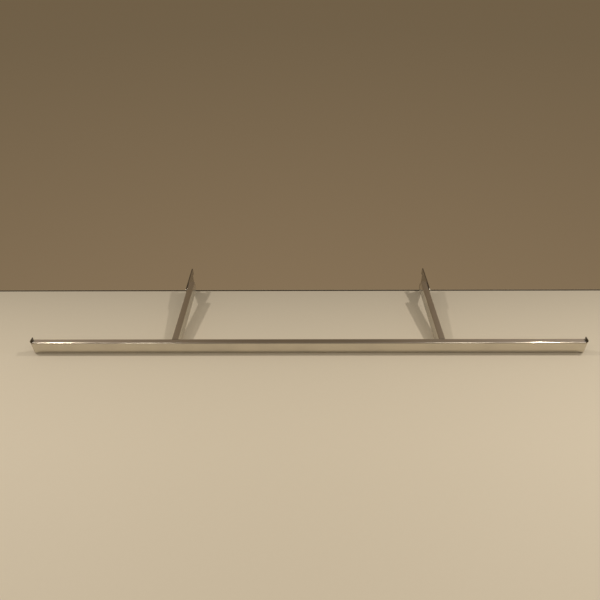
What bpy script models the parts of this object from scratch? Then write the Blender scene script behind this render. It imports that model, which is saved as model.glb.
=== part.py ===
"""Clothes rail of chrome-plated tube: a straight rail on two arms, with hook blades for slotted uprights."""

import math

import bmesh
import bpy
from mathutils import Matrix

# Driving dimensions in metres. +X runs along the rail, +Y towards the wall, +Z up. The origin lies midway
# between the two blades, on the plane of the uprights' front faces, at half the tube's height.
RAIL_LENGTH = 1.250
REACH = 0.300             # rail's front face to the uprights' front faces
UPRIGHT_SPACING = 0.625   # middle of one blade to the middle of the other
ARM_LENGTH = 0.230        # rail's back face to the arm tube's far end

# Rectangular tube that the rail and the arms are cut from
TUBE_HEIGHT = 0.030
TUBE_DEPTH = 0.015
TUBE_WALL = 0.0015
TUBE_CORNER = 0.0025      # outer radius of the long edges
CORNER_STEPS = 4

# Flat blade on each arm's outer side, its top flush with the arm
BLADE_THICKNESS = 0.003
BLADE_LAP = 0.035         # length that lies along the arm
LAP_STEP = 0.006          # lap's lower edge above the arm's underside
SLANT_LAP = 0.010         # where the slanted edge meets the lap, ahead of the arm's far end
BLADE_CHAMFER = 0.003     # front corners of the lap
FOOT_LENGTH = 0.010       # level foot under the lower hook
FOOT_DROP = 0.002         # foot below the lower hook's nose

# Hooks on the blade's back edge, the first one flush with the blade's top
HOOK_COUNT = 2
HOOK_PITCH = 0.050
HOOK_ROOT = 0.010         # height of a hook where it passes the upright's slot
HOOK_DROP = 0.008         # nose below the root
HOOK_REACH = 0.010        # hook's back behind the upright's front face
HOOK_THROAT = 0.0026      # depth between the upright's front face and the nose
HOOK_LEAD = 0.0015        # slanted entry at the nose and the hook's back
THROAT_RELIEF = 0.0005    # throat's front wall ahead of the bearing edge

# Plastic plugs in the tube ends: a ribbed stem, and a head that fills the bore and stands a little out of it
STEM_LENGTH = 0.014
RIB_COUNT = 3
RIB_WIDTH = 0.0012
RIB_HEIGHT = 0.0008
HEAD_DEPTH = 0.002        # head's length inside the tube
HEAD_PROUD = 0.0015       # head's length outside the tube

# Plate on each rail plug, outside the rail's end, that keeps hangers on the rail
STOP_HEIGHT = 0.006       # plate's top above the rail's top
STOP_INSET = 0.0003       # plate's sides inside the tube's sides
STOP_RIM = 0.0004         # rounding of the plate's upper edges
RIM_STEPS = 2

# Weld beads
ARM_BEAD_LEG = 0.003
ARM_BEAD_END = 0.0005     # bead's end inside the flat of the arm's side
LAP_BEAD_LEG = 0.0026
LAP_BEAD_END = 0.001      # bead's end inside the straight of the lap's edge
BEAD_CROWN = 0.15         # swell of the bead's face, as a share of its leg
BEAD_STEPS = 4
BEAD_END_SCALE = 0.5      # bead's section at its ends
BEAD_TAPER = 0.0015       # length over which the ends thin out

SEAT_GAP = 0.0003         # between pieces that touch

# Places that follow from the driving dimensions
ARM_TOP = TUBE_HEIGHT / 2
ARM_UNDERSIDE = -TUBE_HEIGHT / 2
RAIL_MIDDLE_Y = -REACH + TUBE_DEPTH / 2
RAIL_BACK_Y = -REACH + TUBE_DEPTH
ARM_FRONT_Y = RAIL_BACK_Y + SEAT_GAP
ARM_END_Y = RAIL_BACK_Y + ARM_LENGTH
BLADE_FRONT_Y = ARM_END_Y - BLADE_LAP
BLADE_X = UPRIGHT_SPACING / 2
ARM_OUTER_X = BLADE_X - BLADE_THICKNESS / 2 - SEAT_GAP
ARM_X = ARM_OUTER_X - TUBE_DEPTH / 2
ARM_INNER_X = ARM_OUTER_X - TUBE_DEPTH
LAP_BOTTOM = ARM_UNDERSIDE + LAP_STEP
FOOT = ARM_TOP - (HOOK_COUNT - 1) * HOOK_PITCH - HOOK_ROOT - HOOK_DROP - FOOT_DROP
STOP_BOTTOM = TUBE_HEIGHT / 2 + SEAT_GAP
STOP_TOP = TUBE_HEIGHT / 2 + STOP_HEIGHT

# Turns from a piece's own axes to where it lies
ALONG_RAIL = (math.pi / 2, 0, math.pi / 2)
ALONG_RAIL_BACKWARDS = (math.pi / 2, 0, -math.pi / 2)
ALONG_ARM = (math.pi / 2, 0, math.pi)
SIDES = {"left": -1, "right": 1}
SHARP_ANGLE = math.radians(35)


def clear_scene():
    """Remove every object that is already in the file."""
    for thing in list(bpy.data.objects):
        bpy.data.objects.remove(thing)


def material(name, colour, metallic, roughness):
    """A plain surface finish."""
    finish = bpy.data.materials.new(name)
    finish.use_nodes = True
    shader = finish.node_tree.nodes["Principled BSDF"]
    shader.inputs["Base Color"].default_value = (*colour, 1.0)
    shader.inputs["Metallic"].default_value = metallic
    shader.inputs["Roughness"].default_value = roughness
    return finish


def place(name, shape, finish, location, rotation):
    """Turn a modelled shape into a named object of the rail."""
    bmesh.ops.recalc_face_normals(shape, faces=shape.faces)
    mesh = bpy.data.meshes.new(name)
    shape.to_mesh(mesh)
    shape.free()
    mesh.materials.append(finish)
    mesh.shade_smooth()
    mesh.set_sharp_from_angle(angle=SHARP_ANGLE)
    piece = bpy.data.objects.new(name, mesh)
    bpy.context.collection.objects.link(piece)
    piece.location = location
    piece.rotation_euler = rotation
    piece.parent = bpy.data.objects["clothes_rail"]
    return piece


def bar(size):
    """A block around the origin."""
    shape = bmesh.new()
    bmesh.ops.create_cube(shape, size=1.0)
    bmesh.ops.scale(shape, vec=size, verts=shape.verts)
    return shape


def round_long_edges(shape, radius):
    """Round the edges that run along Z."""
    long_edges = []
    for edge in shape.edges:
        run = edge.verts[1].co - edge.verts[0].co
        if abs(run.z) > max(abs(run.x), abs(run.y)):
            long_edges.append(edge)
    bmesh.ops.bevel(shape, geom=long_edges, offset=radius, segments=CORNER_STEPS, profile=0.5, affect="EDGES")


def end_face(shape, direction):
    """The face at the top (1) or the bottom (-1) of a shape."""
    return max(shape.faces, key=lambda face: direction * face.calc_center_median().z)


def extrude(shape, face, step):
    """Extrude a face by a step and return the face at the new end. A lone face stays as the bottom."""
    is_lone = all(edge.is_boundary for edge in face.edges)
    grown = bmesh.ops.extrude_face_region(shape, geom=[face])
    new_face = next(item for item in grown["geom"] if isinstance(item, bmesh.types.BMFace))
    bmesh.ops.translate(shape, vec=step, verts=new_face.verts)
    if not is_lone:
        bmesh.ops.delete(shape, geom=[face], context="FACES_ONLY")
    return new_face


def extrude_up(shape, face, rise):
    """Extrude a face along Z and return the face at the new end."""
    return extrude(shape, face, (0, 0, rise))


def widen(face, margin):
    """Move a face's four sides outwards, or inwards where the margin is negative."""
    for vert in face.verts:
        vert.co.x += margin * math.copysign(1, vert.co.x)
        vert.co.y += margin * math.copysign(1, vert.co.y)


def make_tube(name, length, finish, location, rotation):
    """A cut length of the rectangular tube along its own Z."""
    shape = bar((TUBE_DEPTH, TUBE_HEIGHT, length))
    caps = [end_face(shape, 1), end_face(shape, -1)]
    bmesh.ops.delete(shape, geom=caps, context="FACES_ONLY")
    round_long_edges(shape, TUBE_CORNER)
    tube = place(name, shape, finish, location, rotation)
    wall = tube.modifiers.new("wall", "SOLIDIFY")
    wall.thickness = TUBE_WALL
    wall.offset = -1
    wall.use_even_offset = True


def make_plug(name, finish, has_stop, location, rotation):
    """A ribbed plug along its own Z, with the tube's end at zero, the stem below and the head around it."""
    bore_x = TUBE_DEPTH - 2 * TUBE_WALL - 2 * SEAT_GAP
    bore_y = TUBE_HEIGHT - 2 * TUBE_WALL - 2 * SEAT_GAP
    pitch = STEM_LENGTH / (RIB_COUNT + 1)
    land = pitch - RIB_WIDTH / 2

    shape = bar((bore_x - 2 * RIB_HEIGHT, bore_y - 2 * RIB_HEIGHT, land))
    round_long_edges(shape, TUBE_CORNER - TUBE_WALL)
    bmesh.ops.translate(shape, vec=(0, 0, land / 2 - STEM_LENGTH - HEAD_DEPTH), verts=shape.verts)
    face = end_face(shape, 1)
    for rib in range(RIB_COUNT):
        face = extrude_up(shape, face, 0)
        widen(face, RIB_HEIGHT)
        face = extrude_up(shape, face, RIB_WIDTH)
        face = extrude_up(shape, face, 0)
        widen(face, -RIB_HEIGHT)
        last = rib == RIB_COUNT - 1
        face = extrude_up(shape, face, land if last else pitch - RIB_WIDTH)
    face = extrude_up(shape, face, 0)
    widen(face, RIB_HEIGHT)
    face = extrude_up(shape, face, HEAD_DEPTH + SEAT_GAP)
    face = extrude_up(shape, face, HEAD_PROUD - SEAT_GAP)
    if has_stop:
        add_stop(shape, face)
    place(name, shape, finish, location, rotation)


def add_stop(shape, head_end):
    """Lead a plug's head up past the tube's wall, into a plate that stands up at the tube's end."""
    sides = [side for edge in head_end.edges for side in edge.link_faces if side is not head_end]
    upper_side = max(sides, key=lambda side: side.calc_center_median().y)
    face = extrude(shape, upper_side, (0, STOP_BOTTOM - upper_side.calc_center_median().y, 0))
    face = extrude(shape, face, (0, 0, 0))
    for vert in face.verts:
        vert.co.x = math.copysign(TUBE_DEPTH / 2 - STOP_INSET, vert.co.x)
    face = extrude(shape, face, (0, STOP_TOP - STOP_BOTTOM, 0))
    rim = list(face.edges)
    bmesh.ops.bevel(shape, geom=rim, offset=STOP_RIM, segments=RIM_STEPS, profile=0.5, affect="EDGES")


def hook_points(top):
    """One hook's outline on the blade's back edge, from its back to the bearing edge under its throat."""
    root = top - HOOK_ROOT
    nose = root - HOOK_DROP
    return [
        (HOOK_REACH - HOOK_LEAD, top),
        (HOOK_REACH, top - HOOK_LEAD),
        (HOOK_REACH, nose),
        (HOOK_THROAT + HOOK_LEAD, nose),
        (HOOK_THROAT, nose + HOOK_LEAD),
        (HOOK_THROAT, root),
        (-THROAT_RELIEF, root),
        (-THROAT_RELIEF, nose),
        (0, nose),
    ]


def make_blade(name, finish, location):
    """The hook blade: a lap against the arm, a slanted lower edge, a level foot and hooks at the back."""
    outline = [
        (BLADE_FRONT_Y, LAP_BOTTOM + BLADE_CHAMFER),
        (BLADE_FRONT_Y, ARM_TOP - BLADE_CHAMFER),
        (BLADE_FRONT_Y + BLADE_CHAMFER, ARM_TOP),
        *hook_points(ARM_TOP),
    ]
    for hook in range(1, HOOK_COUNT):
        top = ARM_TOP - hook * HOOK_PITCH
        outline += [(0, top), *hook_points(top)]
    outline += [
        (0, FOOT),
        (-FOOT_LENGTH, FOOT),
        (ARM_END_Y - SLANT_LAP, LAP_BOTTOM),
        (BLADE_FRONT_Y + BLADE_CHAMFER, LAP_BOTTOM),
    ]
    shape = bmesh.new()
    corners = [shape.verts.new((depth, height, -BLADE_THICKNESS / 2)) for depth, height in outline]
    shape.faces.new(corners)
    sheet = bmesh.ops.extrude_face_region(shape, geom=shape.faces[:])
    far_corners = [item for item in sheet["geom"] if isinstance(item, bmesh.types.BMVert)]
    bmesh.ops.translate(shape, vec=(0, 0, BLADE_THICKNESS), verts=far_corners)
    place(name, shape, finish, location, ALONG_RAIL)


def make_bead(name, leg, length, finish, location, turn):
    """A weld bead along its own Z, in the corner between its planes x = 0 and y = 0."""
    section = [(0, 0)]
    for step in range(BEAD_STEPS + 1):
        share = step / BEAD_STEPS
        swell = leg * BEAD_CROWN * math.sin(math.pi * share)
        section.append((leg * (1 - share) + swell, leg * share + swell))
    shape = bmesh.new()
    face = shape.faces.new([shape.verts.new((x, y, -length / 2)) for x, y in section])
    bmesh.ops.scale(shape, vec=(BEAD_END_SCALE, BEAD_END_SCALE, 1), verts=face.verts)
    face = extrude_up(shape, face, BEAD_TAPER)
    bmesh.ops.scale(shape, vec=(1 / BEAD_END_SCALE, 1 / BEAD_END_SCALE, 1), verts=face.verts)
    face = extrude_up(shape, face, length - 2 * BEAD_TAPER)
    face = extrude_up(shape, face, BEAD_TAPER)
    bmesh.ops.scale(shape, vec=(BEAD_END_SCALE, BEAD_END_SCALE, 1), verts=face.verts)
    bmesh.ops.translate(shape, vec=(SEAT_GAP, SEAT_GAP, 0), verts=shape.verts)
    place(name, shape, finish, location, turn.to_euler())


def corner_turn(side_x, side_y):
    """Turn about Z that opens a bead's corner towards the given sides."""
    return Matrix.Rotation(math.atan2(side_y, side_x) - math.pi / 4, 3, "Z")


def make_arm_welds(side, sign, finish):
    """Upright beads on both sides of an arm, where it meets the rail's back."""
    length = TUBE_HEIGHT - 2 * TUBE_CORNER - 2 * ARM_BEAD_END
    for face_name, face_x, open_side in (("outer", ARM_OUTER_X, sign), ("inner", ARM_INNER_X, -sign)):
        name = f"{side}_arm_weld_{face_name}"
        corner = (sign * face_x, RAIL_BACK_Y, 0)
        make_bead(name, ARM_BEAD_LEG, length, finish, corner, corner_turn(open_side, 1))


def make_blade_welds(side, sign, finish):
    """Beads along the front and the lower edge of a blade's lap, on the arm's outer side."""
    front_length = ARM_TOP - LAP_BOTTOM - 2 * BLADE_CHAMFER - 2 * LAP_BEAD_END
    front_corner = (sign * ARM_OUTER_X, BLADE_FRONT_Y, (ARM_TOP + LAP_BOTTOM) / 2)
    front_turn = corner_turn(sign, -1)
    make_bead(f"{side}_blade_weld_front", LAP_BEAD_LEG, front_length, finish, front_corner, front_turn)

    lower_start = BLADE_FRONT_Y + BLADE_CHAMFER + LAP_BEAD_END
    lower_end = ARM_END_Y - SLANT_LAP - LAP_BEAD_END
    lower_length = lower_end - lower_start
    lower_corner = (sign * ARM_OUTER_X, (lower_start + lower_end) / 2, LAP_BOTTOM)
    lower_turn = Matrix.Rotation(math.pi / 2, 3, "X") @ front_turn
    make_bead(f"{side}_blade_weld_lower", LAP_BEAD_LEG, lower_length, finish, lower_corner, lower_turn)


def build():
    """Make every piece of the clothes rail."""
    clear_scene()
    frame = bpy.data.objects.new("clothes_rail", None)
    bpy.context.collection.objects.link(frame)
    chrome = material("chrome", (0.66, 0.64, 0.60), 1.0, 0.08)
    plated_weld = material("plated_weld", (0.58, 0.56, 0.52), 1.0, 0.22)
    black_plastic = material("black_plastic", (0.020, 0.017, 0.013), 0.0, 0.45)

    make_tube("rail_tube", RAIL_LENGTH, chrome, (0, RAIL_MIDDLE_Y, 0), ALONG_RAIL)
    for side, sign in SIDES.items():
        arm_middle = (sign * ARM_X, (ARM_FRONT_Y + ARM_END_Y) / 2, 0)
        make_tube(f"{side}_arm_tube", ARM_END_Y - ARM_FRONT_Y, chrome, arm_middle, ALONG_ARM)
        make_blade(f"{side}_hook_blade", chrome, (sign * BLADE_X, 0, 0))
        rail_end = (sign * RAIL_LENGTH / 2, RAIL_MIDDLE_Y, 0)
        outwards = ALONG_RAIL if sign > 0 else ALONG_RAIL_BACKWARDS
        make_plug(f"{side}_rail_plug", black_plastic, True, rail_end, outwards)
        make_plug(f"{side}_arm_plug", black_plastic, False, (sign * ARM_X, ARM_END_Y, 0), ALONG_ARM)
        make_arm_welds(side, sign, plated_weld)
        make_blade_welds(side, sign, plated_weld)


build()
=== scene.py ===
"""Models the finished surfaces of a chrome clothes rail: tubes, hook blades, plugs and weld beads."""

import math
from typing import NamedTuple

import bmesh
import bpy
from bpy.props import FloatProperty, FloatVectorProperty, IntProperty, PointerProperty
from bpy.types import Operator, Panel, PropertyGroup
from mathutils import Matrix, Vector


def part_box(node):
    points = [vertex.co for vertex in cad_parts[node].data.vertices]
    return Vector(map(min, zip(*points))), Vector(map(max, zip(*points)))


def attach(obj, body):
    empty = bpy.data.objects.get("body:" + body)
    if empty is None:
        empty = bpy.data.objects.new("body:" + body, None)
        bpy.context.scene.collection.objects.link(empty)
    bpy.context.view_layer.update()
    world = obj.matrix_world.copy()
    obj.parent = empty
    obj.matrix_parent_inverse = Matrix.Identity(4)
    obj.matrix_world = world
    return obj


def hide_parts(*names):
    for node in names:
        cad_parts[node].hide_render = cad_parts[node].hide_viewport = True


bl_info = {
    "name": "Clothes Rail",
    "version": (1, 0, 0),
    "blender": (4, 5, 0),
    "location": "3D View > Sidebar > Clothes Rail",
    "description": "Models a chrome clothes rail with hook blades, weld beads and end plugs",
    "category": "Object",
}

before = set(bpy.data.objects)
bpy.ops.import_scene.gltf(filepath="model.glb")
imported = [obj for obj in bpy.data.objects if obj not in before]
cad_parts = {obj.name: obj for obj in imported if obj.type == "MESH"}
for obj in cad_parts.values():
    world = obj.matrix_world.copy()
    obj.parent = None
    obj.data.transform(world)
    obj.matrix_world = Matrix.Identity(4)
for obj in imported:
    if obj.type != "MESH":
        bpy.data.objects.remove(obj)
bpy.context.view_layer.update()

# Boxes of the nodes that the sizes follow
RAIL_LOW, RAIL_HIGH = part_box("rail_tube")
ARM_LOW, ARM_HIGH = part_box("right_arm_tube")
BLADE_LOW, BLADE_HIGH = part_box("right_hook_blade")
_, STOP_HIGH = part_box("right_rail_plug")
_, CAP_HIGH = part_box("right_arm_plug")

BODY = "root"
SIDES = {"left": -1, "right": 1}
ALONG_X, ALONG_Y, ALONG_Z = range(3)

# How modelling and shading treat edges
FACING = 0.999                     # share of a normal or edge that counts as lying along an axis
TOUCH = 1e-6                       # distance that counts as none, in metres
SHARP_ANGLE = math.radians(30)


class Marks(NamedTuple):
    """Noise that marks a surface"""

    density: float                 # turns for every metre
    detail: float
    roughness: float
    low: float                     # noise at which the marks begin
    high: float                    # noise at which they are full
    grain: float = 0.0             # turns for every metre along the grain, where the marks have one


class Relief(NamedTuple):
    """Noise that makes a surface uneven"""

    density: float                 # turns for every metre
    detail: float
    roughness: float
    height: float                  # full height in metres
    strength: float                # share of the height that the surface shows
    grain: float = 0.0             # turns for every metre along the grain, where the relief has one


# Chrome plate
SMUDGES = Marks(density=22.0, detail=5.0, roughness=0.62, low=0.46, high=0.72)
SCRATCHES = Marks(density=2600.0, detail=2.0, roughness=0.5, low=0.56, high=0.72, grain=60.0)
WAVES = Relief(density=9.0, detail=1.0, roughness=0.4, height=0.0004, strength=0.04)
STREAKS = Relief(density=900.0, detail=4.0, roughness=0.6, height=0.00002, strength=0.12, grain=14.0)

# Weld metal
PATCHES = Marks(density=320.0, detail=3.0, roughness=0.6, low=0.38, high=0.68)
PITS = Relief(density=1500.0, detail=4.0, roughness=0.7, height=0.00008, strength=0.35)

# Plastic
RUBS = Marks(density=260.0, detail=4.0, roughness=0.65, low=0.52, high=0.76)
MOULD_GRAIN = Relief(density=3200.0, detail=2.0, roughness=0.5, height=0.00004, strength=0.30)

# Floor
# Tone that the floor's painted shade darkens towards
PAINTED_SHADE_TONE = (0.0, 0.0, 0.0)
MOTTLE = Marks(density=160.0, detail=6.0, roughness=0.7, low=0.0, high=1.0)

# Parts of a direction, on a scale from -1 to 1, between which the room's tone changes
FRONT_CHANGE = (0.1, -0.5)
SIDE_CHANGE = (0.12, 0.60)
OVERHEAD_CHANGE = (0.25, 0.60)


def length(name, description, default):
    """A size that the sidebar shows in the scene's units."""
    return FloatProperty(
        name=name,
        description=description,
        default=default,
        min=0.0,
        precision=5,
        subtype="DISTANCE",
        unit="LENGTH",
    )


def share(name, description, default):
    """A part of a whole, from none to all."""
    return FloatProperty(
        name=name,
        description=description,
        default=default,
        min=0.0,
        max=1.0,
        subtype="FACTOR",
    )


def count(name, description, default, least=1):
    """A number of like things."""
    return IntProperty(name=name, description=description, default=default, min=least)


def colour(name, description, default):
    """A linear colour."""
    return FloatVectorProperty(
        name=name,
        description=description,
        default=default,
        min=0.0,
        max=1.0,
        size=3,
        subtype="COLOR",
    )


def place(name, description, default):
    """A point in the rail's own frame."""
    return FloatVectorProperty(
        name=name,
        description=description,
        default=default,
        size=3,
        subtype="TRANSLATION",
        unit="LENGTH",
    )


def angle(name, description, degrees):
    """An angle, given in degrees."""
    return FloatProperty(
        name=name,
        description=description,
        default=math.radians(degrees),
        subtype="ANGLE",
        unit="ROTATION",
    )


def power(name, description, watts):
    """The power of a lamp."""
    return FloatProperty(
        name=name,
        description=description,
        default=watts,
        min=0.0,
        subtype="POWER",
        unit="POWER",
    )


class TubeSizes(PropertyGroup):
    """Section of the rectangular tube"""

    wall: length("Wall", "Thickness of the tube's wall", 0.0015)
    corner: length("Corner", "Outer radius of the long edges", 0.0025)
    corner_steps: count("Corner Steps", "Facets of each rounded edge", 12, least=2)
    deburr: length("Deburr", "Rounding of the cut ends", 0.0002)
    deburr_steps: count("Deburr Steps", "Facets of the cut ends' rounding", 2)


class BladeSizes(PropertyGroup):
    """Outline of the hook blades"""

    lap_step: length("Lap Step", "Lap's lower edge above the arm's underside", 0.006)
    slant_lap: length("Slant Lap", "Slanted edge's start, ahead of the arm's far end", 0.010)
    chamfer: length("Chamfer", "Front corners of the lap", 0.003)
    foot_length: length("Foot", "Length of the level foot", 0.010)
    hook_count: count("Hooks", "Hooks on one blade", 2)
    hook_pitch: length("Hook Pitch", "From one hook to the next", 0.050)
    hook_root: length("Hook Root", "Height of a hook where it passes the slot", 0.010)
    hook_drop: length("Hook Drop", "Nose below the root", 0.008)
    hook_reach: length("Hook Reach", "Hook's back behind the upright's face", BLADE_HIGH.y)
    hook_throat: length("Throat", "Depth between the upright's face and the nose", 0.0026)
    hook_lead: length("Lead", "Slanted entry at the nose and the hook's back", 0.0015)
    throat_relief: length("Relief", "Throat's front wall ahead of the bearing edge", 0.0005)
    edge: length("Edge", "Rounding of the plate's edges", 0.0004)
    edge_steps: count("Edge Steps", "Facets of each rounded edge", 3)


class PlugSizes(PropertyGroup):
    """Moulded plugs in the tube ends"""

    stem: length("Stem", "Length of the ribbed stem", 0.014)
    rib_count: count("Ribs", "Ribs round the stem", 3)
    rib_width: length("Rib Width", "Width of a rib", 0.0012)
    rib_height: length("Rib Height", "Rib above the stem", 0.0008)
    head_depth: length("Head Depth", "Head's length inside the tube", 0.002)
    head_proud: length("Head Proud", "Head's length outside the tube", CAP_HIGH.y - ARM_HIGH.y)
    corner_steps: count("Corner Steps", "Facets of each rounded corner", 6)
    stop_inset: length("Stop Inset", "Stop plate's sides inside the tube's sides", 0.0003)
    rim: length("Rim", "Rounding of the outer edges", 0.0004)
    rim_steps: count("Rim Steps", "Facets of each rounded edge", 4)
    seat: length("Seat", "Clearance between plug and tube", 0.0003)


class WeldSizes(PropertyGroup):
    """Weld beads"""

    arm_leg: length("Arm Leg", "Leg of the beads at the rail", 0.003)
    arm_end: length("Arm End", "Bead's end inside the flat of the arm's side", 0.0005)
    lap_leg: length("Lap Leg", "Leg of the beads at a blade", 0.0026)
    lap_end: length("Lap End", "Bead's end inside the straight of the lap's edge", 0.001)
    crown: share("Crown", "Swell of the bead's face, as a share of its leg", 0.15)
    section_steps: count("Section Steps", "Facets across the bead's face", 10, least=2)
    ripple: length("Ripple", "Distance from one ripple to the next", 0.0015)
    ripple_steps: count("Ripple Steps", "Rings in each ripple", 6, least=2)
    ripple_depth: share("Ripple Depth", "Depth of the ripples, as a share of the leg", 0.06)
    sway: length("Sway", "Length over which the bead swells and thins", 0.0083)
    sway_depth: share("Sway Depth", "How far the bead swells and thins, as a share of the leg", 0.06)
    taper: length("Taper", "Length over which the ends thin out", 0.0025)
    end_scale: share("End Scale", "Bead's section at its ends", 0.45)
    seat: length("Seat", "Clearance between bead and metal", 0.00005)


class Finishes(PropertyGroup):
    """Colours and gloss of the surfaces"""

    chrome: colour("Chrome", "Bright chrome plate", (0.645, 0.59, 0.475))
    chrome_dull: colour("Dull Chrome", "Plate where it is smudged or scratched", (0.53, 0.48, 0.385))
    # Painted shade: the blade colours are darker chrome than the tubes', standing in for the shadow that
    # the blades reflect
    blade: colour("Blade", "Thinner, greyer plate on the flat steel", (0.34, 0.31, 0.255))
    painted_shade_blade_dull: colour("Dull Blade", "Greyer plate where it is smudged or scratched", (0.27, 0.245, 0.20))
    chrome_gloss: share("Chrome Roughness", "Roughness of the clean plate", 0.10)
    smudge_gloss: share("Smudge Roughness", "Roughness of the smudged plate", 0.17)
    smudge_tint: share("Smudge Tint", "How far a smudge takes the plate to its dull colour", 0.85)
    scratch_weight: share("Scratch Weight", "How far a scratch dulls the plate, against a smudge", 0.6)
    tube_haze: share("Tube Haze", "Weight of the thin film of handling haze on the tubes", 1.0)
    blade_haze: share("Blade Haze", "Weight of the film of haze on the blades", 0.4)
    haze_gloss: share("Haze Roughness", "Roughness of the film of haze", 0.48)
    haze_index: FloatProperty(
        name="Haze Index",
        description="Refractive index of the film of haze",
        default=2.7,
        min=1.0,
    )
    weld: colour("Weld", "Plated weld metal", (0.58, 0.54, 0.455))
    weld_dull: colour("Dull Weld", "Duller patches of the weld metal", (0.38, 0.345, 0.285))
    weld_gloss: share("Weld Roughness", "Roughness of the weld metal", 0.16)
    weld_dull_gloss: share("Dull Weld Roughness", "Roughness of its duller patches", 0.34)
    plastic: colour("Plastic", "Black plastic", (0.052, 0.040, 0.024))
    plastic_worn: colour("Worn Plastic", "Plastic where it is rubbed", (0.092, 0.074, 0.050))
    plastic_gloss: share("Plastic Roughness", "Roughness of the plastic", 0.36)
    plastic_worn_gloss: share("Worn Plastic Roughness", "Roughness of the rubbed plastic", 0.52)


class StageLook(PropertyGroup):
    """Floor, room, lamps and camera"""

    floor: colour("Floor", "Pale floor", (0.755, 0.665, 0.525))
    floor_mottle: share("Floor Mottle", "Brightness of the floor's darker specks, against the rest", 0.97)
    floor_gloss: share("Floor Roughness", "Roughness of the floor", 0.55)
    floor_specular: share("Floor Specular", "Strength of the floor's own reflection", 0.25)
    joint: colour("Joint", "Dark joint along the floor's far edge", (0.030, 0.022, 0.014))
    joint_width: length("Joint Width", "Width of the dark joint", 0.0065)
    joint_inset: length("Joint Inset", "Joint's far side inside the floor's far edge", 0.0005)
    # Painted shade: the floor darkens towards its far edge, standing in for the light that falls off there
    floor_shade: share("Floor Shade", "How much darker the floor is at its far edge", 0.34)
    shade_depth: length("Shade Depth", "How far the floor's darker stretch reaches", 0.61)
    shade_curve: FloatProperty(
        name="Shade Curve",
        description="How late the floor darkens",
        default=1.6,
        min=0.1,
    )
    floor_back: length("Floor Back", "Floor's far edge behind the uprights' faces", 0.012)
    floor_front: length("Floor Front", "Floor's near edge ahead of the uprights' faces", 6.0)
    floor_half_width: length("Floor Half Width", "Half of the floor's width", 6.0)
    floor_thickness: length("Floor Thickness", "Thickness of the floor's slab at its far edge", 0.030)
    floor_depth: length("Floor Depth", "Thickness of the floor's slab at its near edge", 0.120)
    floor_clearance: length("Floor Clearance", "Gap between the rail and the floor", 0.0002)
    room_low: colour("Room Low", "Room well below the horizon", (0.240, 0.168, 0.095))
    room_middle: colour("Room Middle", "Room just below the horizon", (0.165, 0.118, 0.066))
    room_high: colour("Room High", "Room well above the horizon", (0.120, 0.078, 0.036))
    room_top: colour("Room Top", "Room overhead", (0.104, 0.070, 0.036))
    low_height: share("Low Height", "Where the low tone ends, from straight down to straight up", 0.20)
    middle_height: share("Middle Height", "Where the middle tone is, on the same scale", 0.42)
    high_height: share("High Height", "Where the high tone is, on the same scale", 0.82)
    room_front: colour("Room Front", "Side of the room ahead of the rail", (0.120, 0.090, 0.055))
    room_side: colour("Room Side", "Paler room above the rail's ends", (0.300, 0.195, 0.100))
    fill: colour("Fill", "Soft light from all round on matt surfaces", (0.370, 0.341, 0.286))
    lamp: colour("Lamp", "Slightly warm lamp light", (1.0, 0.95, 0.88))
    back_size: length("Back Lamp Size", "Side of a far square lamp", 0.12)
    front_size: length("Front Lamp Size", "Side of a near square lamp", 0.30)
    back_left: place("Back Left", "Where the far left lamp hangs", (-1.455, 0.26, 1.9))
    back_left_power: power("Back Left Power", "Power of the far left lamp", 16.8)
    back_right: place("Back Right", "Where the far right lamp hangs", (1.41, 0.26, 1.9))
    back_right_power: power("Back Right Power", "Power of the far right lamp", 20.0)
    front_left: place("Front Left", "Where the near left lamp hangs", (-0.98, -1.2, 1.9))
    front_left_power: power("Front Left Power", "Power of the near left lamp", 3.2)
    front_right: place("Front Right", "Where the near right lamp hangs", (0.95, -1.2, 1.9))
    front_right_power: power("Front Right Power", "Power of the near right lamp", 3.6)
    camera: place("Camera", "Where the camera stands", (-0.0120, -1.2105, 0.8017))
    pitch: angle("Pitch", "Camera's tilt below the horizon", 36.211)
    yaw: angle("Yaw", "Camera's turn to the right", -0.403)
    roll: angle("Roll", "Camera's turn about its own axis", -0.330)
    lens: FloatProperty(
        name="Lens",
        description="Focal length of the camera",
        default=32.03,
        min=1.0,
        subtype="DISTANCE_CAMERA",
        unit="CAMERA",
    )


def select_parts(kind, test):
    """Select the edges or the faces of the mesh in edit mode that pass a test."""
    bpy.ops.mesh.select_mode(type=kind)
    bpy.ops.mesh.select_all(action="DESELECT")
    shape = bmesh.from_edit_mesh(bpy.context.object.data)
    for part in shape.edges if kind == "EDGE" else shape.faces:
        if test(part):
            part.select_set(True)
    shape.select_flush_mode()
    bmesh.update_edit_mesh(bpy.context.object.data)


def select_edges(test):
    """Select the edges that pass a test."""
    select_parts("EDGE", test)


def select_faces(test):
    """Select the faces that pass a test."""
    select_parts("FACE", test)


def runs_along(edge, axis):
    """Whether an edge lies along an axis."""
    run = (edge.verts[1].co - edge.verts[0].co).normalized()
    return abs(run[axis]) > FACING


def is_sharp(edge):
    """Whether an edge joins two faces at a sharp angle."""
    return edge.calc_face_angle(0) > SHARP_ANGLE


def extrude(x, y, z):
    """Extrude what is selected by a step."""
    bpy.ops.mesh.extrude_region_move(TRANSFORM_OT_translate={"value": (x, y, z)})


def settle(name):
    """Name the active piece and put its place into its mesh."""
    piece = bpy.context.object
    piece.name = name
    piece.data.name = name
    bpy.ops.object.transform_apply(location=True, rotation=True, scale=True)
    return piece


def add_block(name, middle, size):
    """Add a block as the start of a piece, and go into edit mode."""
    bpy.ops.object.select_all(action="DESELECT")
    bpy.ops.mesh.primitive_cube_add(size=1, location=middle, scale=size)
    piece = settle(name)
    bpy.ops.object.mode_set(mode="EDIT")
    return piece


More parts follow.
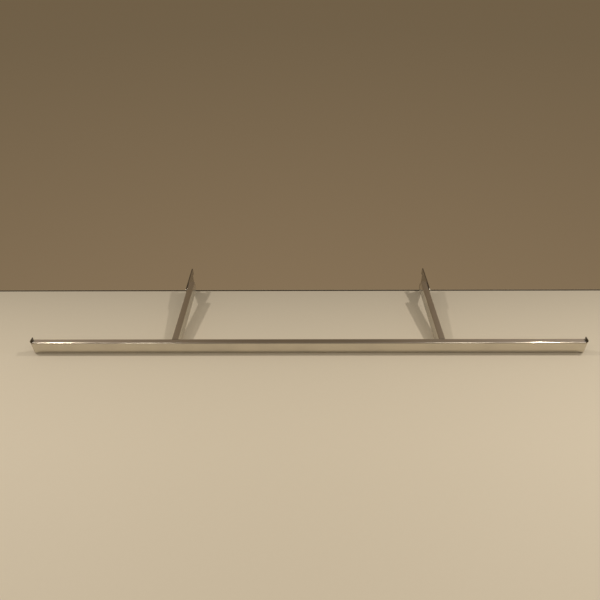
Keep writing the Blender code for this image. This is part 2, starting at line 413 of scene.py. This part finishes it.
def draw_outline(name, points):
    """Draw a closed outline point by point and fill it, and stay in edit mode with the face selected."""
    bpy.ops.object.select_all(action="DESELECT")
    bpy.ops.mesh.primitive_plane_add(size=1, location=points[0])
    piece = settle(name)
    bpy.ops.object.mode_set(mode="EDIT")
    bpy.ops.mesh.select_mode(type="VERT")
    bpy.ops.mesh.select_all(action="SELECT")
    bpy.ops.mesh.merge(type="CENTER")
    for here, there in zip(points, [*points[1:], points[0]]):
        extrude(*(there - here))
    bpy.ops.mesh.select_all(action="SELECT")
    bpy.ops.mesh.remove_doubles(threshold=TOUCH)
    bpy.ops.mesh.edge_face_add()
    return piece


def shade(piece):
    """End the modelling of a piece: faces outwards, smooth round edges and flat flats."""
    bpy.ops.mesh.select_all(action="SELECT")
    bpy.ops.mesh.normals_make_consistent(inside=False)
    bpy.ops.object.mode_set(mode="OBJECT")
    bpy.ops.object.shade_smooth_by_angle(angle=SHARP_ANGLE)
    flats = piece.modifiers.new("flats", "WEIGHTED_NORMAL")
    flats.keep_sharp = True
    bpy.ops.object.modifier_apply(modifier=flats.name)


def place_copy(model, name, matrix):
    """Copy a model with a mesh of its own, and put its place into the mesh."""
    bpy.ops.object.select_all(action="DESELECT")
    model.select_set(True)
    bpy.context.view_layer.objects.active = model
    bpy.ops.object.duplicate(linked=False)
    bpy.context.object.matrix_world = matrix
    return settle(name)


def dress(piece, node, finish):
    """Give a piece its finish and let it stand for its node."""
    piece.data.materials.clear()
    piece.data.materials.append(finish)
    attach(piece, BODY)
    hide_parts(node)


def add_node(tree, kind, **values):
    """Add a shader node, with values for its properties and its named sockets."""
    node = tree.nodes.new(kind)
    for key, value in values.items():
        socket = node.inputs.get(key.replace("_", " ").title())
        if socket is None:
            setattr(node, key, value)
        else:
            socket.default_value = value
    return node


def new_finish(name):
    """A new material with its node tree, its shader and its object coordinates."""
    finish = bpy.data.materials.new(name)
    finish.use_nodes = True
    tree = finish.node_tree
    coordinates = add_node(tree, "ShaderNodeTexCoord")
    return finish, tree, tree.nodes["Principled BSDF"], coordinates.outputs["Object"]


def split(tree, vector):
    """The X, Y and Z parts of a vector."""
    node = add_node(tree, "ShaderNodeSeparateXYZ")
    tree.links.new(vector, node.inputs["Vector"])
    return node.outputs


def spread(tree, value, low, high, start=0.0, end=1.0):
    """Map a range of values to another range."""
    node = add_node(tree, "ShaderNodeMapRange", from_min=low, from_max=high, to_min=start, to_max=end)
    tree.links.new(value, node.inputs["Value"])
    return node.outputs["Result"]


def combine(tree, operation, *values):
    """Work out a new value from one, two or three others."""
    node = add_node(tree, "ShaderNodeMath", operation=operation)
    for socket, value in zip(node.inputs, values):
        if isinstance(value, bpy.types.NodeSocket):
            tree.links.new(value, socket)
        else:
            socket.default_value = value
    return node.outputs["Value"]


def blend_colours(tree, amount, first, second):
    """Blend two colours by an amount."""
    node = add_node(tree, "ShaderNodeMix", data_type="RGBA")
    for name, tone in (("A", first), ("B", second)):
        if isinstance(tone, bpy.types.NodeSocket):
            tree.links.new(tone, node.inputs[name])
        else:
            node.inputs[name].default_value = (*tone, 1.0)
    tree.links.new(amount, node.inputs["Factor"])
    return node.outputs["Result"]


def noise(tree, coordinates, pattern, along):
    """The noise of some marks or a relief, with any grain along an axis."""
    density = [pattern.density] * 3
    density[along] = pattern.grain or pattern.density
    mapping = add_node(tree, "ShaderNodeMapping", scale=density)
    texture = add_node(
        tree,
        "ShaderNodeTexNoise",
        scale=1.0,
        detail=pattern.detail,
        roughness=pattern.roughness,
    )
    tree.links.new(coordinates, mapping.inputs["Vector"])
    tree.links.new(mapping.outputs["Vector"], texture.inputs["Vector"])
    return texture.outputs["Fac"]


def mark(tree, coordinates, marks, along=ALONG_X, most=1.0):
    """How strongly marks show at each place, from none to the most."""
    return spread(tree, noise(tree, coordinates, marks, along), marks.low, marks.high, end=most)


def raise_surface(tree, coordinates, relief, along=ALONG_X, under=None):
    """The normal of a surface with a relief, on top of another normal."""
    node = add_node(tree, "ShaderNodeBump", strength=relief.strength, distance=relief.height)
    tree.links.new(noise(tree, coordinates, relief, along), node.inputs["Height"])
    if under is not None:
        tree.links.new(under, node.inputs["Normal"])
    return node.outputs["Normal"]


def chrome_finish(name, along, bright, dull, haze, looks):
    """Chrome plate under a film of haze, with smudges, and with scratches and streaks along one axis."""
    finish, tree, shader, coordinates = new_finish(name)
    smudged = mark(tree, coordinates, SMUDGES)
    scratched = mark(tree, coordinates, SCRATCHES, along, looks.scratch_weight)
    dulled = combine(tree, "MAXIMUM", smudged, scratched)
    tint = combine(tree, "MULTIPLY", dulled, looks.smudge_tint)
    tree.links.new(blend_colours(tree, tint, bright, dull), shader.inputs["Base Color"])
    gloss = spread(tree, dulled, 0.0, 1.0, looks.chrome_gloss, looks.smudge_gloss)
    tree.links.new(gloss, shader.inputs["Roughness"])
    wavy = raise_surface(tree, coordinates, WAVES)
    streaked = raise_surface(tree, coordinates, STREAKS, along, wavy)
    tree.links.new(streaked, shader.inputs["Normal"])
    shader.inputs["Coat Weight"].default_value = haze
    shader.inputs["Coat Roughness"].default_value = looks.haze_gloss
    shader.inputs["Coat IOR"].default_value = looks.haze_index
    shader.inputs["Metallic"].default_value = 1.0
    return finish


def tube_finish(name, along, looks):
    """Bright chrome of the tubes."""
    return chrome_finish(name, along, looks.chrome, looks.chrome_dull, looks.tube_haze, looks)


def painted_shade_blade_finish(name, along, looks):
    """Chrome of the flat blades, darkened by painted shade that stands in for the shadow they reflect."""
    return chrome_finish(name, along, looks.blade, looks.painted_shade_blade_dull, looks.blade_haze, looks)


def weld_finish(name, looks):
    """Chrome plate over weld metal, with small pits and duller patches."""
    finish, tree, shader, coordinates = new_finish(name)
    dull = mark(tree, coordinates, PATCHES)
    tree.links.new(blend_colours(tree, dull, looks.weld, looks.weld_dull), shader.inputs["Base Color"])
    gloss = spread(tree, dull, 0.0, 1.0, looks.weld_gloss, looks.weld_dull_gloss)
    tree.links.new(gloss, shader.inputs["Roughness"])
    tree.links.new(raise_surface(tree, coordinates, PITS), shader.inputs["Normal"])
    shader.inputs["Metallic"].default_value = 1.0
    return finish


def plastic_finish(name, looks):
    """Moulded black plastic with a fine grain and paler rubbed patches."""
    finish, tree, shader, coordinates = new_finish(name)
    rubbed = mark(tree, coordinates, RUBS)
    shade_of_black = blend_colours(tree, rubbed, looks.plastic, looks.plastic_worn)
    tree.links.new(shade_of_black, shader.inputs["Base Color"])
    gloss = spread(tree, rubbed, 0.0, 1.0, looks.plastic_gloss, looks.plastic_worn_gloss)
    tree.links.new(gloss, shader.inputs["Roughness"])
    tree.links.new(raise_surface(tree, coordinates, MOULD_GRAIN), shader.inputs["Normal"])
    return finish


def floor_finish(name, look):
    """Matt pale floor with a faint mottle, painted shade that darkens it towards its far edge, and a dark
    joint along it.
    """
    finish, tree, shader, coordinates = new_finish(name)
    back = look.floor_back
    depth = split(tree, coordinates)["Y"]
    specks = [channel * look.floor_mottle for channel in look.floor]
    mottled = blend_colours(tree, mark(tree, coordinates, MOTTLE), look.floor, specks)
    # Painted shade, growing towards the floor's far edge
    nearing = combine(tree, "POWER", spread(tree, depth, back - look.shade_depth, back), look.shade_curve)
    painted_shade_amount = combine(tree, "MULTIPLY", nearing, look.floor_shade)
    deepened = blend_colours(tree, painted_shade_amount, mottled, PAINTED_SHADE_TONE)
    joint_half = look.joint_width / 2
    at_joint = combine(tree, "COMPARE", depth, back - look.joint_inset - joint_half, joint_half)
    jointed = blend_colours(tree, at_joint, deepened, look.joint)
    tree.links.new(jointed, shader.inputs["Base Color"])
    shader.inputs["Roughness"].default_value = look.floor_gloss
    shader.inputs["Specular IOR Level"].default_value = look.floor_specular
    return finish


def finish_named(name, make, *details):
    """The finish of a name, made when it is first asked for."""
    return bpy.data.materials.get(name) or make(name, *details)


def model_tube(name, low, high, sizes):
    """Model a tube in a box: rounded long edges, an open bore and deburred ends."""
    size = high - low
    along = max(range(3), key=lambda axis: size[axis])
    tube = add_block(name, (low + high) / 2, size)
    select_edges(lambda edge: runs_along(edge, along))
    bpy.ops.mesh.bevel(offset=sizes.corner, segments=sizes.corner_steps, affect="EDGES")
    select_faces(lambda face: abs(face.normal[along]) > FACING)
    bpy.ops.mesh.inset(thickness=sizes.wall)
    bpy.ops.mesh.delete(type="FACE")
    select_edges(lambda edge: edge.is_boundary)
    bpy.ops.mesh.bridge_edge_loops()
    select_edges(lambda edge: is_sharp(edge) and not runs_along(edge, along))
    bpy.ops.mesh.bevel(offset=sizes.deburr, segments=sizes.deburr_steps, affect="EDGES")
    shade(tube)
    return tube


def hook_outline(top, sizes):
    """One hook's outline on the blade's back edge, from its back to the bearing edge under its throat."""
    root = top - sizes.hook_root
    nose = root - sizes.hook_drop
    return [
        (sizes.hook_reach - sizes.hook_lead, top),
        (sizes.hook_reach, top - sizes.hook_lead),
        (sizes.hook_reach, nose),
        (sizes.hook_throat + sizes.hook_lead, nose),
        (sizes.hook_throat, nose + sizes.hook_lead),
        (sizes.hook_throat, root),
        (-sizes.throat_relief, root),
        (-sizes.throat_relief, nose),
        (0, nose),
    ]


def blade_outline(sizes):
    """The blade's outline, as distances behind the uprights' faces and heights."""
    front = BLADE_LOW.y
    top = BLADE_HIGH.z
    foot = BLADE_LOW.z
    lap_bottom = ARM_LOW.z + sizes.lap_step
    outline = [
        (front, lap_bottom + sizes.chamfer),
        (front, top - sizes.chamfer),
        (front + sizes.chamfer, top),
    ]
    outline += hook_outline(top, sizes)
    for hook in range(1, sizes.hook_count):
        hook_top = top - hook * sizes.hook_pitch
        outline += [(0, hook_top), *hook_outline(hook_top, sizes)]
    outline += [(0, foot), (-sizes.foot_length, foot)]
    outline += [(ARM_HIGH.y - sizes.slant_lap, lap_bottom), (front + sizes.chamfer, lap_bottom)]
    return outline


def model_blade(name, sizes):
    """Model a hook blade as a plate with eased edges, its middle plane at zero."""
    thickness = BLADE_HIGH.x - BLADE_LOW.x
    points = [Vector((-thickness / 2, depth, height)) for depth, height in blade_outline(sizes)]
    blade = draw_outline(name, points)
    extrude(thickness, 0, 0)
    bpy.ops.mesh.select_all(action="SELECT")
    bpy.ops.mesh.normals_make_consistent(inside=False)
    select_edges(is_sharp)
    bpy.ops.mesh.bevel(offset=sizes.edge, segments=sizes.edge_steps, affect="EDGES")
    shade(blade)
    return blade


def selected_reach():
    """How far the selected face reaches along each axis."""
    shape = bmesh.from_edit_mesh(bpy.context.object.data)
    face = next(face for face in shape.faces if face.select)
    return [max(vert.co[axis] for vert in face.verts) for axis in range(3)]


def step_sides(margin):
    """Go on from the selected face with its four sides further out, or further in by a negative margin."""
    extrude(0, 0, 0)
    half_x, half_y, _ = selected_reach()
    scale = ((half_x + margin) / half_x, (half_y + margin) / half_y, 1)
    bpy.ops.transform.resize(value=scale, center_override=(0, 0, 0))


def model_plug(name, width, height, stop_height, sizes, tubes):
    """Model a plug along Z, with the tube's end at zero: a ribbed stem below it and a head round it."""
    bore_x = width - 2 * (tubes.wall + sizes.seat)
    bore_y = height - 2 * (tubes.wall + sizes.seat)
    pitch = sizes.stem / (sizes.rib_count + 1)
    land = pitch - sizes.rib_width / 2
    stem = (bore_x - 2 * sizes.rib_height, bore_y - 2 * sizes.rib_height, land)
    plug = add_block(name, (0, 0, land / 2 - sizes.stem - sizes.head_depth), stem)
    select_edges(lambda edge: runs_along(edge, ALONG_Z))
    bpy.ops.mesh.bevel(offset=tubes.corner - tubes.wall, segments=sizes.corner_steps, affect="EDGES")
    select_faces(lambda face: face.normal.z > FACING)
    for rib in range(sizes.rib_count):
        step_sides(sizes.rib_height)
        extrude(0, 0, sizes.rib_width)
        step_sides(-sizes.rib_height)
        last = rib == sizes.rib_count - 1
        extrude(0, 0, land if last else pitch - sizes.rib_width)
    step_sides(sizes.rib_height)
    extrude(0, 0, sizes.head_depth + sizes.seat)
    extrude(0, 0, sizes.head_proud - sizes.seat)
    if stop_height:
        add_stop(width / 2 - sizes.stop_inset, bore_y / 2, height / 2, stop_height, sizes)
    inside = -sizes.head_depth / 2
    select_edges(lambda edge: is_sharp(edge) and edge.is_convex and lies_beyond(edge, inside))
    bpy.ops.mesh.bevel(offset=sizes.rim, segments=sizes.rim_steps, affect="EDGES", clamp_overlap=True)
    shade(plug)
    return plug


def lies_beyond(edge, level):
    """Whether an edge lies beyond a level along Z."""
    return all(vert.co.z > level for vert in edge.verts)


def add_stop(half_width, bore_top, tube_top, stop_height, sizes):
    """Lead the head's upper side past the tube's wall, up into a plate that stands at the tube's end."""
    select_faces(lambda face: face.normal.y > FACING and face.calc_center_median().z > sizes.seat)
    extrude(0, tube_top + sizes.seat - bore_top, 0)
    extrude(0, 0, 0)
    strap_half = selected_reach()[ALONG_X]
    bpy.ops.transform.resize(value=(half_width / strap_half, 1, 1), center_override=(0, 0, 0))
    extrude(0, stop_height - sizes.seat, 0)


def bead_size(at, bead_length, sizes):
    """How large a bead's section is at a place along it: thin ends, a slow sway and a row of ripples."""
    end = min(at, bead_length - at)
    taper = min(1.0, sizes.end_scale + (1 - sizes.end_scale) * math.sqrt(end / sizes.taper))
    sway = math.sin(math.tau * at / sizes.sway) ** 2
    wander = sway * sizes.ripple / 2
    ripple = math.cos(math.pi * (at + wander) / sizes.ripple) ** 2
    return taper * (1 - sizes.sway_depth * sway - sizes.ripple_depth * ripple)


def model_bead(name, leg, bead_length, sizes):
    """Model a rippled weld bead along Z, in the corner between its planes x = 0 and y = 0."""
    section = [Vector((0, 0, -bead_length / 2))]
    start = bead_size(0, bead_length, sizes)
    for step in range(sizes.section_steps + 1):
        part = step / sizes.section_steps
        swell = leg * sizes.crown * math.sin(math.pi * part)
        x = (leg * (1 - part) + swell) * start
        y = (leg * part + swell) * start
        section.append(Vector((x, y, -bead_length / 2)))
    bead = draw_outline(name, section)
    rings = round(bead_length / sizes.ripple) * sizes.ripple_steps
    before = start
    for ring in range(1, rings + 1):
        now = bead_size(bead_length * ring / rings, bead_length, sizes)
        extrude(0, 0, bead_length / rings)
        bpy.ops.transform.resize(value=(now / before, now / before, 1), center_override=(0, 0, 0))
        before = now
    bpy.ops.mesh.select_all(action="SELECT")
    bpy.ops.transform.translate(value=(sizes.seat, sizes.seat, 0))
    shade(bead)
    return bead


def corner_turn(side_x, side_y):
    """Turn about Z that opens a bead's corner, at first between +X and +Y, towards the given sides."""
    return Matrix.Rotation(math.atan2(side_y, side_x) - math.pi / 4, 4, "Z")


class CLOTHESRAIL_OT_rail(Operator):
    """Model the long rail tube"""

    bl_idname = "clothes_rail.rail"
    bl_label = "Rail Tube"

    def execute(self, context):
        scene = context.scene
        rail = model_tube("polished_rail", RAIL_LOW, RAIL_HIGH, scene.rail_tubes)
        finish = finish_named("chrome_along_rail", tube_finish, ALONG_X, scene.rail_finishes)
        dress(rail, "rail_tube", finish)
        return {"FINISHED"}


class CLOTHESRAIL_OT_arms(Operator):
    """Model the two arm tubes"""

    bl_idname = "clothes_rail.arms"
    bl_label = "Arm Tubes"

    def execute(self, context):
        scene = context.scene
        middle = Vector(((ARM_LOW.x + ARM_HIGH.x) / 2, 0, 0))
        model = model_tube("arm_model", ARM_LOW - middle, ARM_HIGH - middle, scene.rail_tubes)
        finish = finish_named("chrome_along_arm", tube_finish, ALONG_Y, scene.rail_finishes)
        for side, sign in SIDES.items():
            arm = place_copy(model, f"{side}_polished_arm", Matrix.Translation(sign * middle))
            dress(arm, f"{side}_arm_tube", finish)
        bpy.data.objects.remove(model)
        return {"FINISHED"}


class CLOTHESRAIL_OT_blades(Operator):
    """Model the two hook blades"""

    bl_idname = "clothes_rail.blades"
    bl_label = "Hook Blades"

    def execute(self, context):
        scene = context.scene
        middle = Vector(((BLADE_LOW.x + BLADE_HIGH.x) / 2, 0, 0))
        model = model_blade("blade_model", scene.rail_blades)
        finish = finish_named("chrome_on_blade", painted_shade_blade_finish, ALONG_Y, scene.rail_finishes)
        for side, sign in SIDES.items():
            blade = place_copy(model, f"{side}_hook_plate", Matrix.Translation(sign * middle))
            dress(blade, f"{side}_hook_blade", finish)
        bpy.data.objects.remove(model)
        return {"FINISHED"}


class CLOTHESRAIL_OT_rail_plugs(Operator):
    """Model the plugs in the rail's ends, with the plates that stop hangers"""

    bl_idname = "clothes_rail.rail_plugs"
    bl_label = "Rail Plugs"

    def execute(self, context):
        scene = context.scene
        size = RAIL_HIGH - RAIL_LOW
        middle = (RAIL_HIGH + RAIL_LOW) / 2
        stop_height = STOP_HIGH.z - RAIL_HIGH.z
        plugs = scene.rail_plugs
        model = model_plug("rail_plug_model", size.y, size.z, stop_height, plugs, scene.rail_tubes)
        finish = finish_named("moulded_plastic", plastic_finish, scene.rail_finishes)
        upright = Matrix.Rotation(math.pi / 2, 4, "X")
        for side, sign in SIDES.items():
            end = Matrix.Translation((sign * RAIL_HIGH.x, middle.y, middle.z))
            outwards = Matrix.Rotation(sign * math.pi / 2, 4, "Z")
            plug = place_copy(model, f"{side}_rail_cap", end @ outwards @ upright)
            dress(plug, f"{side}_rail_plug", finish)
        bpy.data.objects.remove(model)
        return {"FINISHED"}


class CLOTHESRAIL_OT_arm_plugs(Operator):
    """Model the plugs in the arms' far ends"""

    bl_idname = "clothes_rail.arm_plugs"
    bl_label = "Arm Plugs"

    def execute(self, context):
        scene = context.scene
        size = ARM_HIGH - ARM_LOW
        middle = (ARM_HIGH + ARM_LOW) / 2
        model = model_plug("arm_plug_model", size.x, size.z, 0, scene.rail_plugs, scene.rail_tubes)
        finish = finish_named("moulded_plastic", plastic_finish, scene.rail_finishes)
        backwards = Matrix.Rotation(math.pi, 4, "Z") @ Matrix.Rotation(math.pi / 2, 4, "X")
        for side, sign in SIDES.items():
            end = Matrix.Translation((sign * middle.x, ARM_HIGH.y, middle.z))
            plug = place_copy(model, f"{side}_arm_cap", end @ backwards)
            dress(plug, f"{side}_arm_plug", finish)
        bpy.data.objects.remove(model)
        return {"FINISHED"}


class CLOTHESRAIL_OT_arm_welds(Operator):
    """Model the beads on both sides of each arm, where it meets the rail"""

    bl_idname = "clothes_rail.arm_welds"
    bl_label = "Arm Welds"

    def execute(self, context):
        scene = context.scene
        welds = scene.rail_welds
        bead_length = ARM_HIGH.z - ARM_LOW.z - 2 * scene.rail_tubes.corner - 2 * welds.arm_end
        model = model_bead("arm_bead_model", welds.arm_leg, bead_length, welds)
        finish = finish_named("plated_weld_metal", weld_finish, scene.rail_finishes)
        for side, sign in SIDES.items():
            for face, face_x, open_side in (("outer", ARM_HIGH.x, sign), ("inner", ARM_LOW.x, -sign)):
                corner = Matrix.Translation((sign * face_x, RAIL_HIGH.y, 0))
                bead = place_copy(model, f"{side}_arm_bead_{face}", corner @ corner_turn(open_side, 1))
                dress(bead, f"{side}_arm_weld_{face}", finish)
        bpy.data.objects.remove(model)
        return {"FINISHED"}


class CLOTHESRAIL_OT_blade_welds(Operator):
    """Model the beads along the front and the lower edge of each blade's lap"""

    bl_idname = "clothes_rail.blade_welds"
    bl_label = "Blade Welds"

    def execute(self, context):
        scene = context.scene
        blades = scene.rail_blades
        welds = scene.rail_welds
        lap_bottom = ARM_LOW.z + blades.lap_step
        inside = blades.chamfer + welds.lap_end
        lower_start = BLADE_LOW.y + inside
        lower_end = ARM_HIGH.y - blades.slant_lap - welds.lap_end
        front_middle = (BLADE_LOW.y, (BLADE_HIGH.z + lap_bottom) / 2)
        lower_middle = ((lower_start + lower_end) / 2, lap_bottom)
        front_length = BLADE_HIGH.z - lap_bottom - 2 * inside
        front = model_bead("front_bead_model", welds.lap_leg, front_length, welds)
        lower = model_bead("lower_bead_model", welds.lap_leg, lower_end - lower_start, welds)
        lying = Matrix.Rotation(math.pi / 2, 4, "X")
        finish = finish_named("plated_weld_metal", weld_finish, scene.rail_finishes)
        for side, sign in SIDES.items():
            turn = corner_turn(sign, -1)
            for edge, model, at, stand in (
                ("front", front, front_middle, turn),
                ("lower", lower, lower_middle, lying @ turn),
            ):
                corner = Matrix.Translation((sign * ARM_HIGH.x, *at))
                bead = place_copy(model, f"{side}_blade_bead_{edge}", corner @ stand)
                dress(bead, f"{side}_blade_weld_{edge}", finish)
        bpy.data.objects.remove(front)
        bpy.data.objects.remove(lower)
        return {"FINISHED"}


def add_floor(look, blades):
    """Lay a floor under the rail's front edge and the blades' feet, level ahead of the rail."""
    rest_y = RAIL_LOW.y
    rest_z = RAIL_LOW.z - look.floor_clearance
    foot_z = BLADE_LOW.z - look.floor_clearance
    slope = (foot_z - rest_z) / (-blades.foot_length - rest_y)
    back_z = rest_z + slope * (look.floor_back - rest_y)
    half = look.floor_half_width
    points = [
        Vector((-half, -look.floor_front, rest_z)),
        Vector((-half, rest_y, rest_z)),
        Vector((-half, look.floor_back, back_z)),
        Vector((-half, look.floor_back, back_z - look.floor_thickness)),
        Vector((-half, -look.floor_front, rest_z - look.floor_depth)),
    ]
    floor = draw_outline("stage_floor", points)
    extrude(2 * half, 0, 0)
    bpy.ops.mesh.select_all(action="SELECT")
    bpy.ops.mesh.normals_make_consistent(inside=False)
    bpy.ops.object.mode_set(mode="OBJECT")
    floor.data.materials.append(finish_named("pale_floor", floor_finish, look))


def set_room(look):
    """Give the room dim warm tones by height and side, and a soft light."""
    world = bpy.data.worlds.new("dim_room")
    bpy.context.scene.world = world
    world.use_nodes = True
    tree = world.node_tree
    coordinates = add_node(tree, "ShaderNodeTexCoord")
    way = split(tree, coordinates.outputs["Generated"])
    ramp = add_node(tree, "ShaderNodeValToRGB")
    stops = ramp.color_ramp.elements
    stops[0].position = look.low_height
    stops[0].color = (*look.room_low, 1.0)
    stops[1].color = (*look.room_top, 1.0)
    for height, tone in ((look.middle_height, look.room_middle), (look.high_height, look.room_high)):
        stops.new(height).color = (*tone, 1.0)
    tree.links.new(spread(tree, way["Z"], -1.0, 1.0), ramp.inputs["Fac"])
    ahead = spread(tree, way["Y"], *FRONT_CHANGE)
    room = blend_colours(tree, ahead, ramp.outputs["Color"], look.room_front)
    aside = spread(tree, combine(tree, "ABSOLUTE", way["X"]), *SIDE_CHANGE)
    overhead = spread(tree, way["Z"], *OVERHEAD_CHANGE)
    above_ends = combine(tree, "MULTIPLY", aside, overhead)
    room = blend_colours(tree, above_ends, room, look.room_side)
    ray = add_node(tree, "ShaderNodeLightPath")
    mirrored = combine(tree, "MAXIMUM", ray.outputs["Is Glossy Ray"], ray.outputs["Is Transmission Ray"])
    shown = combine(tree, "MAXIMUM", ray.outputs["Is Camera Ray"], mirrored)
    light = blend_colours(tree, shown, look.fill, room)
    tree.links.new(light, tree.nodes["Background"].inputs["Color"])


def add_lamps(look):
    """Hang a far and a near lamp on each side of the rail."""
    for name in ("back_left", "back_right", "front_left", "front_right"):
        light = bpy.data.lights.new(f"{name}_lamp", "AREA")
        row, _ = name.split("_")
        light.size = getattr(look, f"{row}_size")
        light.energy = getattr(look, f"{name}_power")
        light.color = look.lamp
        lamp = bpy.data.objects.new(f"{name}_lamp", light)
        bpy.context.collection.objects.link(lamp)
        lamp.location = getattr(look, name)


def add_camera(look):
    """Stand the camera before and above the rail."""
    lens = bpy.data.cameras.new("camera")
    lens.lens = look.lens
    camera = bpy.data.objects.new("camera", lens)
    bpy.context.collection.objects.link(camera)
    turn = Matrix.Rotation(-look.yaw, 4, "Z")
    tilt = Matrix.Rotation(math.pi / 2 - look.pitch, 4, "X")
    lean = Matrix.Rotation(look.roll, 4, "Z")
    camera.matrix_world = Matrix.Translation(look.camera) @ turn @ tilt @ lean
    bpy.context.scene.camera = camera


class CLOTHESRAIL_OT_stage(Operator):
    """Set up the floor, the room, the lamps and the camera"""

    bl_idname = "clothes_rail.stage"
    bl_label = "Stage"

    def execute(self, context):
        look = context.scene.rail_stage
        add_floor(look, context.scene.rail_blades)
        set_room(look)
        add_lamps(look)
        add_camera(look)
        context.scene.view_settings.view_transform = "Standard"
        return {"FINISHED"}


OPERATORS = (
    CLOTHESRAIL_OT_rail,
    CLOTHESRAIL_OT_arms,
    CLOTHESRAIL_OT_blades,
    CLOTHESRAIL_OT_rail_plugs,
    CLOTHESRAIL_OT_arm_plugs,
    CLOTHESRAIL_OT_arm_welds,
    CLOTHESRAIL_OT_blade_welds,
    CLOTHESRAIL_OT_stage,
)
SETTINGS = {
    "rail_tubes": TubeSizes,
    "rail_blades": BladeSizes,
    "rail_plugs": PlugSizes,
    "rail_welds": WeldSizes,
    "rail_finishes": Finishes,
    "rail_stage": StageLook,
}


class CLOTHESRAIL_PT_sidebar(Panel):
    """Steps and sizes of the clothes rail"""

    bl_label = "Clothes Rail"
    bl_space_type = "VIEW_3D"
    bl_region_type = "UI"
    bl_category = "Clothes Rail"

    def draw(self, context):
        for operator in OPERATORS:
            self.layout.operator(operator.bl_idname)
        for name, group in SETTINGS.items():
            box = self.layout.box()
            box.label(text=group.__doc__)
            for size in group.__annotations__:
                box.prop(getattr(context.scene, name), size)


def register():
    """Make the settings, the steps and the sidebar known."""
    for name, group in SETTINGS.items():
        bpy.utils.register_class(group)
        setattr(bpy.types.Scene, name, PointerProperty(type=group))
    for step in (*OPERATORS, CLOTHESRAIL_PT_sidebar):
        bpy.utils.register_class(step)


def unregister():
    """Take the sidebar, the steps and the settings away again."""
    for step in reversed((*OPERATORS, CLOTHESRAIL_PT_sidebar)):
        bpy.utils.unregister_class(step)
    for name, group in SETTINGS.items():
        delattr(bpy.types.Scene, name)
        bpy.utils.unregister_class(group)


def main():
    """Build every piece and the stage."""
    register()
    bpy.ops.clothes_rail.rail()
    bpy.ops.clothes_rail.arms()
    bpy.ops.clothes_rail.blades()
    bpy.ops.clothes_rail.rail_plugs()
    bpy.ops.clothes_rail.arm_plugs()
    bpy.ops.clothes_rail.arm_welds()
    bpy.ops.clothes_rail.blade_welds()
    bpy.ops.clothes_rail.stage()


if __name__ == "__main__":
    main()
